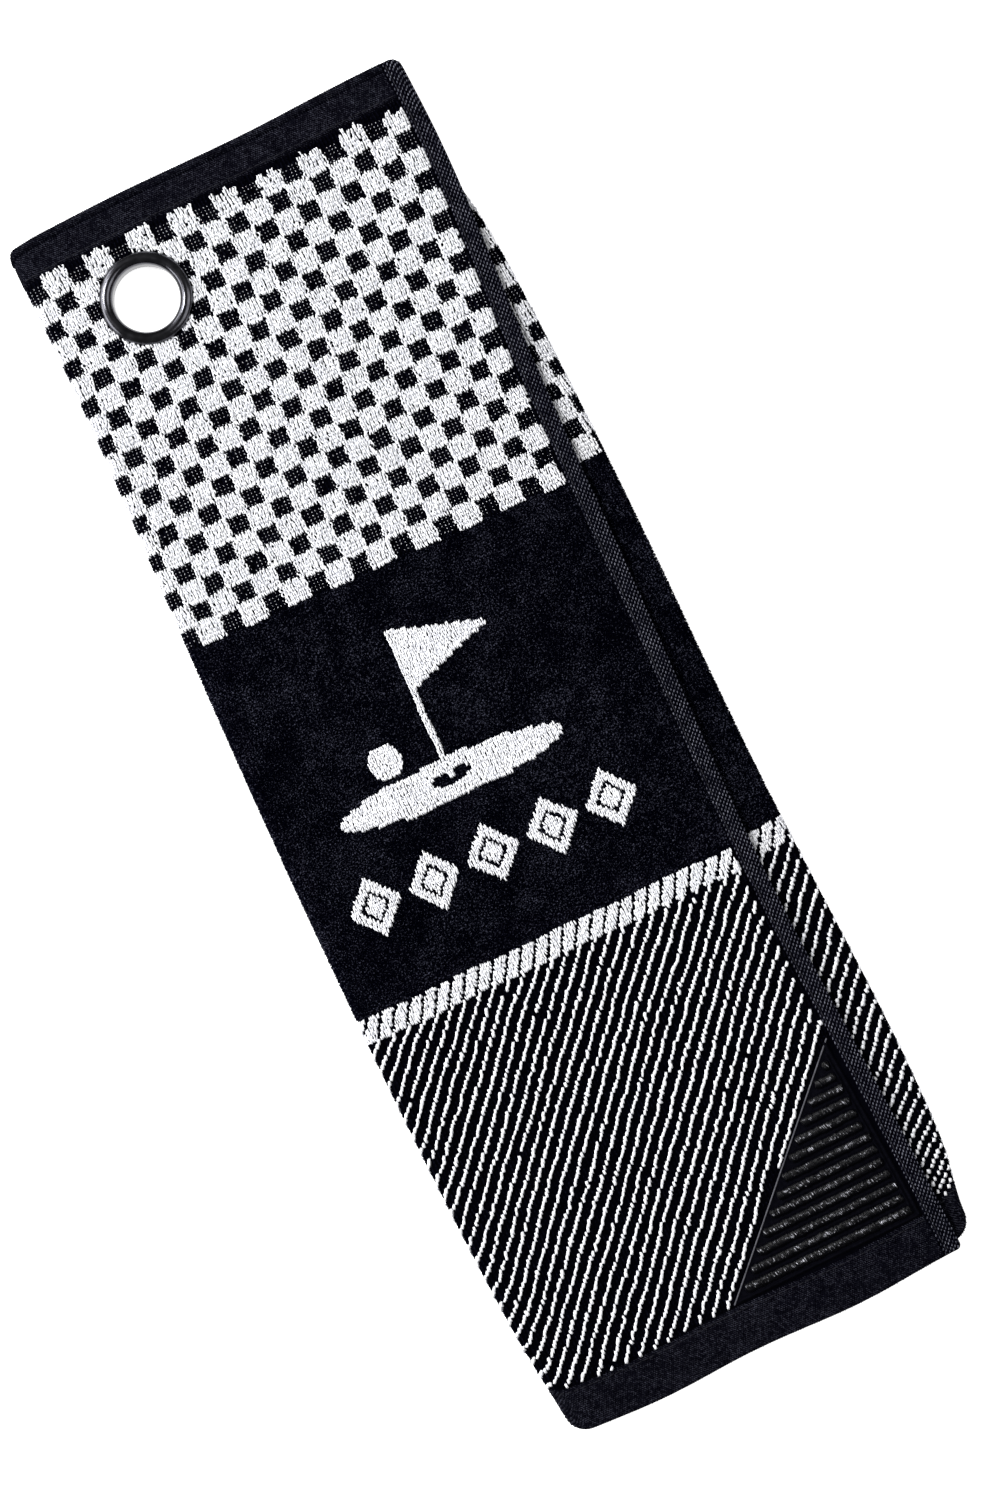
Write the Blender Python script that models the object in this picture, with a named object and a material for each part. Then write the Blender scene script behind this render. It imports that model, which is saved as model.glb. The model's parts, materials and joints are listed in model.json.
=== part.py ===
"""Golf towel: a square terry cloth folded in three and held by a grommet in its top corner.

Lengths are metres. X runs across the folded width, +Y towards the grommet end, +Z up out of
the front face. The towel lies flat on Z = 0. Three layers lie on each other: the rear panel,
the inner panel and the front panel. A vertical crease beside the grommet splits the towel into
a clamped strip on its left, a front flap, and a rear flap that holds the right fold.

Stations along the towel are distances from its top edge, called t.
"""

import math

import bmesh
import bpy
from mathutils import Vector

MM = 0.001

# Overall sizes of the folded towel.
TOWEL_LENGTH = 508.0 * MM
PANEL_WIDTH = 169.0 * MM

# Cloth layers: terry stands thicker than the flat woven hems.
CLOTH_T = 2.7 * MM
HEM_T = 1.5 * MM
GAP = 0.3 * MM

# Hems, measured from the edges they finish.
TOP_HEM = 15.0 * MM
BOTTOM_HEM = 18.0 * MM
SIDE_HEM = 7.4 * MM
INNER_EDGE_FROM_FOLD = 13.0 * MM

# Hem stitching: a flat thread line on the outer face of each hem.
STITCH_T = 0.35 * MM
STITCH_W = 1.0 * MM
STITCH_INSET = 1.5 * MM
STITCH_GAP = 0.2 * MM

# Grommet: an eyelet with a rolled flange, and a flat washer behind.
HOLE_D = 26.0 * MM
FLANGE_D = 36.2 * MM
BARREL_WALL = 1.0 * MM
GROMMET_FROM_FOLD = 41.0 * MM
GROMMET_FROM_TOP = 41.0 * MM
FLANGE_RISE = 1.9 * MM
FLANGE_EDGE_T = 0.9 * MM
WASHER_T = 1.1 * MM
SEAT_DEPTH = 1.4 * MM

# The crease that both flaps turn on, and how far its axes stand off the faces.
CREASE_PAST_FLANGE = 4.9 * MM
FRONT_AXIS_RISE = 1.3 * MM
REAR_AXIS_DROP = 0.6 * MM

# Ribbed scrub patch: a right triangle sewn into the front's bottom right corner.
PATCH_SIDE = 79.0 * MM
PATCH_T = 0.7 * MM
PATCH_MARGIN = 4.0 * MM
PATCH_SEAT = 1.5 * MM
PATCH_FROM_SIDE_HEM = 0.6 * MM
PATCH_FROM_BOTTOM_HEM = 0.6 * MM
RIB_PITCH = 5.3 * MM
RIB_W = 3.6 * MM
RIB_H = 1.1 * MM
RIBS = 13

# How the three long edges wander from straight: (share of the length, offset across).
LEFT_FOLD_LINE = [(0.0, -1.0), (0.08, 0.0), (0.2, -1.8), (0.38, -6.0), (0.6, -9.0),
                  (0.8, -9.2), (0.93, -7.0), (1.0, -4.5)]
RIGHT_FOLD_LINE = [(0.0, -0.5), (0.15, 2.4), (0.35, 4.6), (0.6, 3.6), (0.85, 5.8), (1.0, 3.2)]
FREE_EDGE_LINE = [(0.0, 0.0), (0.1, 0.4), (0.2, -3.0), (0.35, -5.8), (0.5, -8.0),
                  (0.64, -10.6), (0.76, -9.8), (0.9, -7.2), (1.0, -6.2)]

STATION_STEP = 24.0 * MM
FOLD_STEPS = 8
ROUND_STEPS = 72


def smooth_line(points, s):
    """A cubic through the points of an edge line, at share s of the length, in metres."""
    last = len(points) - 2
    i = max(k for k in range(last + 1) if k == 0 or points[k][0] <= s)

    def slope(k):
        a, b = points[max(k - 1, 0)], points[min(k + 1, len(points) - 1)]
        return (b[1] - a[1]) / (b[0] - a[0])

    (s0, v0), (s1, v1) = points[i], points[i + 1]
    w = s1 - s0
    u = (s - s0) / w
    rise = (2 * u**3 - 3 * u**2 + 1) * v0 + (3 * u**2 - 2 * u**3) * v1
    bend = (u**3 - 2 * u**2 + u) * w * slope(i) + (u**3 - u**2) * w * slope(i + 1)
    return (rise + bend) * MM


def all_stations(t0, t1):
    """Evenly spaced stations from t0 to t1."""
    steps = max(1, round((t1 - t0) / STATION_STEP))
    return [t0 + (t1 - t0) * k / steps for k in range(steps + 1)]


WHOLE = all_stations(0.0, TOWEL_LENGTH)
X_LEFTMOST = min(smooth_line(LEFT_FOLD_LINE, t / TOWEL_LENGTH) for t in WHOLE)
X_RIGHTMOST = PANEL_WIDTH + max(smooth_line(RIGHT_FOLD_LINE, t / TOWEL_LENGTH) for t in WHOLE)
X_MIDDLE = (X_LEFTMOST + X_RIGHTMOST) / 2

# Heights of the three layers' middles, and the fold radii that they give.
Z_REAR = CLOTH_T / 2
Z_INNER = Z_REAR + CLOTH_T + GAP
Z_FRONT = Z_INNER + CLOTH_T + GAP
Z_TOP = Z_FRONT + CLOTH_T / 2
LEFT_FOLD_R = (Z_FRONT - Z_REAR) / 2
RIGHT_FOLD_R = (Z_INNER - Z_REAR) / 2

X_GROMMET = GROMMET_FROM_FOLD - X_MIDDLE
X_CREASE = X_GROMMET + FLANGE_D / 2 + CREASE_PAST_FLANGE
HALF_CREASE_GAP = GAP / 2


def y_at(t):
    """The Y of a station."""
    return TOWEL_LENGTH / 2 - t


def left_fold_x(t):
    """The outermost X of the left fold."""
    return smooth_line(LEFT_FOLD_LINE, t / TOWEL_LENGTH) - X_MIDDLE


def right_fold_x(t):
    """The outermost X of the right fold."""
    return PANEL_WIDTH + smooth_line(RIGHT_FOLD_LINE, t / TOWEL_LENGTH) - X_MIDDLE


def free_edge_x(t):
    """The X of the front panel's free edge."""
    return PANEL_WIDTH + smooth_line(FREE_EDGE_LINE, t / TOWEL_LENGTH) - X_MIDDLE


def inner_edge_x(t):
    """The X of the inner panel's free edge."""
    return left_fold_x(t) + INNER_EDGE_FROM_FOLD


def fold_arc(x, z, radius, side):
    """Middle-surface points round a fold, from its lower layer to its upper one."""
    points = []
    for k in range(FOLD_STEPS + 1):
        a = -math.pi / 2 + math.pi * k / FOLD_STEPS
        out = Vector((side * math.cos(a), 0, math.sin(a)))
        points.append((Vector((x, 0, z)) + radius * out, out))
    return points


def left_wrap(t):
    """Rear layer, left fold and front layer of the clamped strip."""
    x_end = X_CREASE - HALF_CREASE_GAP
    x_arc = left_fold_x(t) + LEFT_FOLD_R + CLOTH_T / 2
    arc = fold_arc(x_arc, (Z_REAR + Z_FRONT) / 2, LEFT_FOLD_R, -1)
    start = (Vector((x_end, 0, Z_REAR)), Vector((0, 0, -1)))
    end = (Vector((x_end, 0, Z_FRONT)), Vector((0, 0, 1)))
    return [start, *arc, end]


def right_wrap(t):
    """Rear layer, right fold and inner layer of the rear flap."""
    x_start = X_CREASE + HALF_CREASE_GAP
    x_arc = right_fold_x(t) - RIGHT_FOLD_R - CLOTH_T / 2
    arc = fold_arc(x_arc, (Z_REAR + Z_INNER) / 2, RIGHT_FOLD_R, 1)
    start = (Vector((x_start, 0, Z_REAR)), Vector((0, 0, -1)))
    end = (Vector((x_start, 0, Z_INNER)), Vector((0, 0, 1)))
    return [start, *arc, end]


def flat_run(x0, x1, z):
    """A flat layer between two X values, seen from above."""
    up = Vector((0, 0, 1))
    return [(Vector((x0, 0, z)), up), (Vector((x1, 0, z)), up)]


def inner_run(t):
    """Inner layer of the clamped strip, between its side hem and the crease."""
    return flat_run(inner_edge_x(t) + SIDE_HEM + GAP, X_CREASE - HALF_CREASE_GAP, Z_INNER)


def inner_hem_run(t):
    """Side hem on the inner panel's free edge."""
    return flat_run(inner_edge_x(t), inner_edge_x(t) + SIDE_HEM, Z_INNER)


def inner_stitch_run(t):
    """Stitch line on the inner side hem."""
    x1 = inner_edge_x(t) + SIDE_HEM - STITCH_INSET
    return flat_run(x1 - STITCH_W, x1, Z_INNER)


def front_run(t):
    """Front layer of the front flap, between the crease and its side hem."""
    return flat_run(X_CREASE + HALF_CREASE_GAP, free_edge_x(t) - SIDE_HEM - GAP, Z_FRONT)


def front_hem_run(t):
    """Side hem on the front panel's free edge."""
    return flat_run(free_edge_x(t) - SIDE_HEM, free_edge_x(t), Z_FRONT)


def front_stitch_run(t):
    """Stitch line on the front side hem."""
    x0 = free_edge_x(t) - SIDE_HEM + STITCH_INSET
    return flat_run(x0, x0 + STITCH_W, Z_FRONT)


def material(name, colour, roughness, metallic=0.0):
    """A Principled material with a plain colour."""
    made = bpy.data.materials.new(name)
    made.use_nodes = True
    shader = made.node_tree.nodes["Principled BSDF"]
    shader.inputs["Base Color"].default_value = (*colour, 1.0)
    shader.inputs["Roughness"].default_value = roughness
    shader.inputs["Metallic"].default_value = metallic
    return made


def add_object(name, mesh, finish):
    """Puts a mesh in the scene under a name, with one material."""
    made = bpy.data.objects.new(name, mesh)
    made.data.materials.append(finish)
    bpy.context.scene.collection.objects.link(made)
    return made


def mesh_from(name, bm):
    """Closes a bmesh into a mesh whose faces point out."""
    bmesh.ops.recalc_face_normals(bm, faces=bm.faces)
    mesh = bpy.data.meshes.new(name)
    bm.to_mesh(mesh)
    bm.free()
    return mesh


def layer(name, finish, path, span, t0, t1):
    """One layer of cloth or thread: a path's section, from offset to offset, along t0 to t1."""
    low, high = span
    bm = bmesh.new()
    rings = []
    for t in all_stations(t0, t1):
        along = Vector((0, y_at(t), 0))
        outer = [bm.verts.new(p + high * n + along) for p, n in path(t)]
        inner = [bm.verts.new(p + low * n + along) for p, n in path(t)]
        rings.append(outer + inner[::-1])
    size = len(rings[0])
    for a, b in zip(rings, rings[1:]):
        for k in range(size):
            n = (k + 1) % size
            bm.faces.new((a[k], a[n], b[n], b[k]))
    for ring in (rings[0], rings[-1]):
        for k in range(size // 2 - 1):
            bm.faces.new((ring[k], ring[k + 1], ring[size - 2 - k], ring[size - 1 - k]))
    return add_object(name, mesh_from(name, bm), finish)


def prism(name, outline, z0, z1, finish):
    """An upright prism on a flat outline."""
    bm = bmesh.new()
    low = [bm.verts.new((x, y, z0)) for x, y in outline]
    high = [bm.verts.new((x, y, z1)) for x, y in outline]
    bm.faces.new(low)
    bm.faces.new(high)
    for k in range(len(outline)):
        n = (k + 1) % len(outline)
        bm.faces.new((low[k], low[n], high[n], high[k]))
    return add_object(name, mesh_from(name, bm), finish)


def turned(name, profile, finish):
    """A closed ring turned about the grommet's axis from (radius, z) points."""
    bm = bmesh.new()
    rings = []
    for k in range(ROUND_STEPS):
        a = 2 * math.pi * k / ROUND_STEPS
        rings.append([bm.verts.new((r * math.cos(a), r * math.sin(a), z)) for r, z in profile])
    for k, ring in enumerate(rings):
        after = rings[(k + 1) % ROUND_STEPS]
        for i in range(len(profile)):
            n = (i + 1) % len(profile)
            bm.faces.new((ring[i], ring[n], after[n], after[i]))
    made = add_object(name, mesh_from(name, bm), finish)
    made.data.shade_smooth()
    made.data.set_sharp_from_angle(angle=math.radians(40))
    made.location = (X_GROMMET, y_at(GROMMET_FROM_TOP), 0)
    return made


def cut(target, cutter):
    """Takes a cutter's shape out of a solid."""
    cutter.hide_render = True
    cutter.display_type = "WIRE"
    step = target.modifiers.new(cutter.name, "BOOLEAN")
    step.operation = "DIFFERENCE"
    step.solver = "EXACT"
    step.object = cutter


def disc(name, radius, z0, z1):
    """A round cutter on the grommet's axis."""
    outline = []
    for k in range(ROUND_STEPS):
        a = 2 * math.pi * k / ROUND_STEPS
        x = X_GROMMET + radius * math.cos(a)
        y = y_at(GROMMET_FROM_TOP) + radius * math.sin(a)
        outline.append((x, y))
    return prism(name, outline, z0, z1, finishes["guide"])


def grommet_front_profile():
    """Barrel, flared mouth, rolled crest and outer edge of the eyelet."""
    bore, outer = HOLE_D / 2, FLANGE_D / 2
    z_seat = Z_TOP - SEAT_DEPTH + GAP
    z_edge = z_seat + FLANGE_EDGE_T
    z_crest = Z_TOP + FLANGE_RISE
    r_crest = bore + 0.45 * (outer - bore)
    points = [(bore + BARREL_WALL, GAP), (bore + BARREL_WALL, z_seat), (outer, z_seat)]
    for k in range(8):
        a = math.pi / 2 * k / 8
        points.append((r_crest + (outer - r_crest) * math.cos(a),
                       z_edge + (z_crest - z_edge) * math.sin(a)))
    z_mouth = z_crest - 1.25 * (r_crest - bore)
    for k in range(8):
        a = math.pi / 2 * k / 8
        points.append((r_crest - (r_crest - bore) * math.sin(a),
                       z_mouth + (z_crest - z_mouth) * math.cos(a)))
    points.append((bore, z_mouth))
    points.append((bore, GAP))
    return points


def grommet_washer_profile():
    """Flat washer round the barrel's lower end, with a rounded outer rim."""
    inner = HOLE_D / 2 + BARREL_WALL + GAP
    outer = FLANGE_D / 2
    points = [(inner, 0.0)]
    for k in range(5):
        a = -math.pi / 2 + math.pi / 2 * k / 4
        points.append((outer - WASHER_T / 2 + WASHER_T / 2 * math.cos(a),
                       WASHER_T / 2 * (1 + math.sin(a))))
    points.append((outer - WASHER_T / 2, WASHER_T))
    points.append((inner, WASHER_T))
    return points


def build_cloth():
    """The terry cloth in the four runs that the flaps divide it into."""
    span = (-CLOTH_T / 2, CLOTH_T / 2)
    t0, t1 = TOP_HEM + GAP, TOWEL_LENGTH - BOTTOM_HEM - GAP
    terry = finishes["towel_cloth"]
    left = layer("left_cloth", terry, left_wrap, span, t0, t1)
    inner = layer("inner_cloth", terry, inner_run, span, t0, t1)
    front = layer("front_cloth", terry, front_run, span, t0, t1)
    layer("rear_cloth", terry, right_wrap, span, t0, t1)
    hole = HOLE_D / 2 + BARREL_WALL + 2 * GAP
    seat = FLANGE_D / 2 + GAP
    cut(left, disc("hole_guide", hole, -CLOTH_T, Z_TOP + CLOTH_T))
    cut(left, disc("flange_seat_guide", seat, Z_TOP - SEAT_DEPTH, Z_TOP + CLOTH_T))
    cut(left, disc("washer_seat_guide", seat, -CLOTH_T, WASHER_T + GAP))
    cut(inner, disc("inner_hole_guide", hole, -CLOTH_T, Z_TOP + CLOTH_T))
    patch_seat = prism("patch_seat_guide", patch_corners(-GAP), Z_TOP - PATCH_SEAT,
                       Z_TOP + CLOTH_T, finishes["guide"])
    for cloth in (front, left):
        cut(cloth, patch_seat)


def build_end_hems():
    """The flat woven hems across the top and bottom, each with its stitch line."""
    runs = [("left", left_wrap), ("inner", inner_run), ("front", front_run),
            ("rear", right_wrap)]
    band = (-HEM_T / 2, HEM_T / 2)
    thread = (HEM_T / 2 + STITCH_GAP, HEM_T / 2 + STITCH_GAP + STITCH_T)
    t_top = TOP_HEM - STITCH_INSET
    t_bottom = TOWEL_LENGTH - BOTTOM_HEM + STITCH_INSET
    for name, run in runs:
        layer(f"{name}_top_hem", finishes["hem_weave"], run, band, 0.0, TOP_HEM)
        layer(f"{name}_bottom_hem", finishes["hem_weave"], run, band,
              TOWEL_LENGTH - BOTTOM_HEM, TOWEL_LENGTH)
        layer(f"{name}_top_stitching", finishes["thread"], run, thread,
              t_top - STITCH_W, t_top)
        layer(f"{name}_bottom_stitching", finishes["thread"], run, thread,
              t_bottom, t_bottom + STITCH_W)


def build_side_hems():
    """The narrow hems down the front and inner free edges, each with its stitch line."""
    band = (-HEM_T / 2, HEM_T / 2)
    thread = (HEM_T / 2 + STITCH_GAP, HEM_T / 2 + STITCH_GAP + STITCH_T)
    sides = [("front", front_hem_run, front_stitch_run),
             ("inner", inner_hem_run, inner_stitch_run)]
    for name, hem, stitch in sides:
        layer(f"{name}_side_hem", finishes["hem_weave"], hem, band, 0.0, TOWEL_LENGTH)
        layer(f"{name}_side_stitching", finishes["thread"], stitch, thread,
              STITCH_INSET, TOWEL_LENGTH - STITCH_INSET)


def patch_corners(inset):
    """The patch's triangle, moved in by inset on all three sides, with its tips cut off."""
    t_low = TOWEL_LENGTH - BOTTOM_HEM - PATCH_FROM_BOTTOM_HEM
    edge = min(free_edge_x(t) for t in (t_low, t_low - PATCH_SIDE))
    x1 = edge - SIDE_HEM - PATCH_FROM_SIDE_HEM - GAP - inset
    y0 = y_at(t_low) + inset
    reach = PATCH_SIDE - (2 + math.sqrt(2)) * inset
    tip = PATCH_MARGIN / 2
    return [(x1, y0), (x1, y0 + reach - tip), (x1 - tip, y0 + reach - tip),
            (x1 - reach + tip, y0 + tip), (x1 - reach + tip, y0)]


def rib_section(y, z):
    """Half-round section of a rib whose middle is at y, standing on z."""
    points = [(y + RIB_W / 2, z - PATCH_T / 2)]
    for k in range(7):
        a = math.pi * k / 6
        points.append((y + RIB_W / 2 * math.cos(a), z + RIB_H * math.sin(a)))
    points.append((y - RIB_W / 2, z - PATCH_T / 2))
    return points


def build_patch():
    """The ribbed scrub patch in its seat, and the seam that sews it down."""
    z0 = Z_TOP - PATCH_SEAT + GAP
    z1 = z0 + PATCH_T
    patch = prism("scrub_patch", patch_corners(0.0), z0, z1, finishes["scrub"])
    inside = patch_corners(PATCH_MARGIN)
    (x1, y0), (_, y_tip) = inside[0], inside[1]
    x_less_y = inside[3][0] - inside[3][1]
    bm = bmesh.new()
    for k in range(RIBS):
        y = y0 + RIB_W / 2 + k * RIB_PITCH
        x0 = x_less_y + y + RIB_W / 2
        if y + RIB_W / 2 > y_tip or x1 - x0 < RIB_W:
            continue
        section = rib_section(y, z1)
        ends = [[bm.verts.new((x, yy, zz)) for yy, zz in section] for x in (x0, x1)]
        for ring in ends:
            bm.faces.new(ring)
        for i in range(len(section)):
            n = (i + 1) % len(section)
            bm.faces.new((ends[0][i], ends[0][n], ends[1][n], ends[1][i]))
    ribs = add_object("ribs_guide", mesh_from("ribs_guide", bm), finishes["guide"])
    cut(patch, ribs)
    patch.modifiers[-1].operation = "UNION"
    seam = prism("patch_stitching", patch_corners(PATCH_MARGIN / 4), z1 + STITCH_GAP,
                 z1 + STITCH_GAP + STITCH_T, finishes["thread"])
    window = prism("seam_guide", patch_corners(PATCH_MARGIN / 4 + STITCH_W), z1,
                   z1 + STITCH_T * 4, finishes["guide"])
    cut(seam, window)


def hang_on_axis(flap, z, prefixes):
    """Parents a flap's pieces to an empty on the line of the crease that it turns on."""
    pieces = [o for o in bpy.context.scene.objects if o.name.startswith(prefixes)]
    axis = bpy.data.objects.new(f"{flap}_flap_axis", None)
    axis.location = (X_CREASE, 0, z)
    bpy.context.scene.collection.objects.link(axis)
    for piece in pieces:
        piece.parent = axis
        piece.location = -axis.location


def main():
    """Clears the scene and builds every piece."""
    for old in list(bpy.data.objects):
        bpy.data.objects.remove(old)
    finishes.update(
        towel_cloth=material("towel_cloth", (0.025, 0.026, 0.040), 0.95),
        hem_weave=material("hem_weave", (0.016, 0.017, 0.026), 0.85),
        thread=material("thread", (0.020, 0.021, 0.030), 0.6),
        scrub=material("scrub", (0.010, 0.010, 0.014), 0.35),
        grommet=material("grommet", (0.10, 0.10, 0.12), 0.18, 1.0),
        guide=material("guide", (0.5, 0.5, 0.5), 0.5),
    )
    build_cloth()
    build_end_hems()
    build_side_hems()
    build_patch()
    hang_on_axis("front", Z_TOP + FRONT_AXIS_RISE, ("front_", "scrub_", "patch_stitching"))
    hang_on_axis("rear", -REAR_AXIS_DROP, ("rear_",))
    turned("grommet_eyelet", grommet_front_profile(), finishes["grommet"])
    turned("grommet_washer", grommet_washer_profile(), finishes["grommet"])


finishes = {}
main()
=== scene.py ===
"""Golf towel folded in three: terry loops, woven hems, a ribbed scrub patch and a grommet.

Lengths are metres in the CAD frame: X across the folded towel, +Y towards the grommet end, +Z
out of the front face. A place on the cloth is (s, t): s runs round the folds from the front
free edge, over the left fold, the rear panel and the right fold to the inner free edge, and t
runs down from the top edge. The cloth has an outer face, which shows on the front, the folds,
the rear and the top of the inner panel, and a reverse that lies inside the folds.
"""

import json
import math

import bpy
import numpy as np
from mathutils import Matrix, Vector


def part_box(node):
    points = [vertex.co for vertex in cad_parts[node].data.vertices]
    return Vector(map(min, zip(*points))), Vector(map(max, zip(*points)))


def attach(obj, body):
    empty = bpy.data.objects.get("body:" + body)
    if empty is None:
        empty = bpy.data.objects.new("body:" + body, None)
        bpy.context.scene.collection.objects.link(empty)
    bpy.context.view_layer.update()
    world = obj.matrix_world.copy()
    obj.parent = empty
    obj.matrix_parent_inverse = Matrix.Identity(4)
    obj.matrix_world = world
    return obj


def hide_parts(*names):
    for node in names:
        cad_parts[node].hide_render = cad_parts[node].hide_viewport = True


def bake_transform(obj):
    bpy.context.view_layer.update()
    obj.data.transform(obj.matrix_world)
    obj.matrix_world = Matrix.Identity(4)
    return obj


MM = 0.001
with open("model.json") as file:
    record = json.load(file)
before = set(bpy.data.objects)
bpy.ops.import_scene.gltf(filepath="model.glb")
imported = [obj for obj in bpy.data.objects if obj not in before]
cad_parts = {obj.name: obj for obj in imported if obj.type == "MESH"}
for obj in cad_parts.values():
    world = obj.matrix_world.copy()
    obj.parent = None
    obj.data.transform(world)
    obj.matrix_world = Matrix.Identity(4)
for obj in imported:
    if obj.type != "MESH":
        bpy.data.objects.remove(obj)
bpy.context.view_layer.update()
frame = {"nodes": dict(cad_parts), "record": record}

# Photograph's view: a camera straight above the towel, turned so that the towel leans left.
VIEW_TURN = math.radians(26.05)
VIEW_OFFSET = (4.3 * MM, -3.1 * MM)
VIEW_HEIGHT = 1.40
VIEW_SPAN = 0.5809
SENSOR = 36.0

# Cloth: its uncut width, its hems, and the lattice that the loops stand on.
SIDE_HEM = 7.4 * MM
TOP_HEM = 15.0 * MM
BOTTOM_HEM = 18.0 * MM
LOOP_ACROSS = 1.506 * MM
LOOP_ALONG = 1.345 * MM
GROUND = 0.45 * MM
HEM_HALF = 0.95 * MM
STITCH_INSET_ENDS = 1.6 * MM
STITCH_INSET_SIDES = 1.4 * MM

# Pattern: zones down the towel, measured at the left fold.
CHECK_END = 170.4 * MM
CHECK_ROW = 8.08 * MM
CHECK_ROWS = 19
CHECK_LOOPS = 6
BAND_START = 327.2 * MM
BAND_DEPTH = 9.4 * MM
BAND_PERIOD = 6.0 * MM
BAND_GAP = 1.6 * MM
BAND_LEAN = math.tan(math.radians(59))
STRIPE_ACROSS = 6.14 * MM
STRIPE_ALONG = 6.68 * MM
STRIPE_SHIFT = 1.3 * MM
# How far down the weft has slipped at the front free edge (mm), by share of the length.
SKEW = [(0.0, 0.0), (0.335, 5.1), (0.645, 2.3), (1.0, 3.6)]

# Degree of the smooth curves that the long edges are read as.
EDGE_DEGREE = 9
RNG = np.random.default_rng(2607)


# ---------------------------------------------------------------- the folded cloth's surface

def node_points(*names):
    """Every vertex of some CAD nodes, as rows of x, y, z."""
    return np.array([v.co for n in names for v in frame["nodes"][n].data.vertices])


def edge_line(names, pick, reach=15 * MM):
    """An edge's x as a smooth function of y, from the CAD nodes that run along it."""
    points = node_points(*names)
    points = points[np.abs(points[:, 0] - pick(points[:, 0])) < reach]
    ys = np.unique(np.round(points[:, 1], 5))
    xs = [pick(points[np.abs(points[:, 1] - y) < 1e-5, 0]) for y in ys]
    return np.polynomial.Polynomial.fit(ys, xs, EDGE_DEGREE)


LEFT_X = edge_line(("left_top_hem", "left_cloth", "left_bottom_hem"), np.min)
RIGHT_FIT = edge_line(("rear_top_hem", "rear_cloth", "rear_bottom_hem"), np.max)
FREE_X = edge_line(("front_side_hem",), np.max)
INNER_X = edge_line(("inner_side_hem",), np.min)


def right_x(y):
    """The right fold's x; it is tucked under the front's edge near both ends."""
    t = (Y_TOP - y) / MM
    top = 4.2 / (1 + np.exp((t - 58) / 9))
    low = 3.0 / (1 + np.exp((486 - t) / 7))
    return RIGHT_FIT(y) + (1.3 - top - low) * MM


FRONT_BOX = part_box("front_cloth")
INNER_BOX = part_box("inner_cloth")
CLOTH_T = FRONT_BOX[1].z - FRONT_BOX[0].z
Z_FRONT = (FRONT_BOX[0].z + FRONT_BOX[1].z) / 2
Z_INNER = (INNER_BOX[0].z + INNER_BOX[1].z) / 2
Z_REAR = CLOTH_T / 2
LEFT_R = (Z_FRONT - Z_REAR) / 2
RIGHT_R = (Z_INNER - Z_REAR) / 2
Y_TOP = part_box("front_side_hem")[1].y
LENGTH = Y_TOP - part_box("front_side_hem")[0].y
JOINTS = {j["name"]: j for j in frame["record"]["behaviour"]["joints"]}
X_CREASE = JOINTS["front_flap_fold"]["pos_m"][0]
BEND_HALF = 4.2 * MM

EYELET = node_points("grommet_eyelet")
GROMMET = (EYELET.max(0) + EYELET.min(0)) / 2
FLANGE_R = (EYELET[:, 0].max() - EYELET[:, 0].min()) / 2
BORE_R = np.hypot(EYELET[:, 0] - GROMMET[0], EYELET[:, 1] - GROMMET[1]).min()

PATCH_LOW, PATCH_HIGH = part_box("scrub_patch")


def rounded_corner(d, r):
    """How far a corner of radius r pulls the edge in, at distance d from the side."""
    short = np.clip(r - d, 0, r)
    return r - np.sqrt(r * r - short * short)


def edge_waves(x, y, z):
    """How far the cloth's ends move down towards the bottom, at a place on the towel."""
    left = x - LEFT_X(y)
    under = z < (Z_INNER + Z_FRONT) / 2
    right = np.where(under, right_x(y), FREE_X(y)) - x
    top = 0.45 * np.sin(left / (17 * MM) + 1.9) + 0.35 * np.sin(left / (41 * MM) + 0.6)
    top += 1.1 * np.exp(-(left / (9 * MM)) ** 2)
    top = top * MM + rounded_corner(left, 4 * MM) + rounded_corner(right, 4.5 * MM)
    top = top + np.where(under, 1.0 * MM, 0)
    low = 0.75 * np.sin(left / (13.5 * MM) - 1.2) + 0.8 * np.sin(left / (52 * MM) - 0.2)
    low = low * MM - rounded_corner(left, 9 * MM)
    low = low - np.where(under, rounded_corner(right, 9 * MM) + 3 * MM, rounded_corner(right, 2 * MM))
    near_top = np.exp(-((Y_TOP - y) / (24 * MM)) ** 2)
    near_low = np.exp(-((y - Y_TOP + LENGTH) / (34 * MM)) ** 2)
    return top * near_top + low * near_low


def lift(x, y):
    """Gentle rise and fall of the folded stack, as a share from about -1 to 1."""
    a = np.sin(x / (23 * MM) + 0.7 + 2.1 * np.sin(y / (95 * MM)))
    b = np.sin(y / (31 * MM) + 1.3 + 1.4 * np.sin(x / (40 * MM)))
    c = np.sin((x + y) / (17 * MM) + 0.4)
    return 0.4 * a + 0.35 * b + 0.25 * c


WAVE = 0.45 * MM


def bounds_of_s(y):
    """Where s passes from front to left fold, rear, right fold and inner panel."""
    xl, xr = LEFT_X(y) + CLOTH_T / 2 + LEFT_R, right_x(y) - CLOTH_T / 2 - RIGHT_R
    s1 = FREE_X(y) - xl
    s2 = s1 + math.pi * LEFT_R
    s3 = s2 + xr - xl
    s4 = s3 + math.pi * RIGHT_R
    s5 = s4 + xr - INNER_X(y)
    return xl, xr, (s1, s2, s3, s4, s5)


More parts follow.
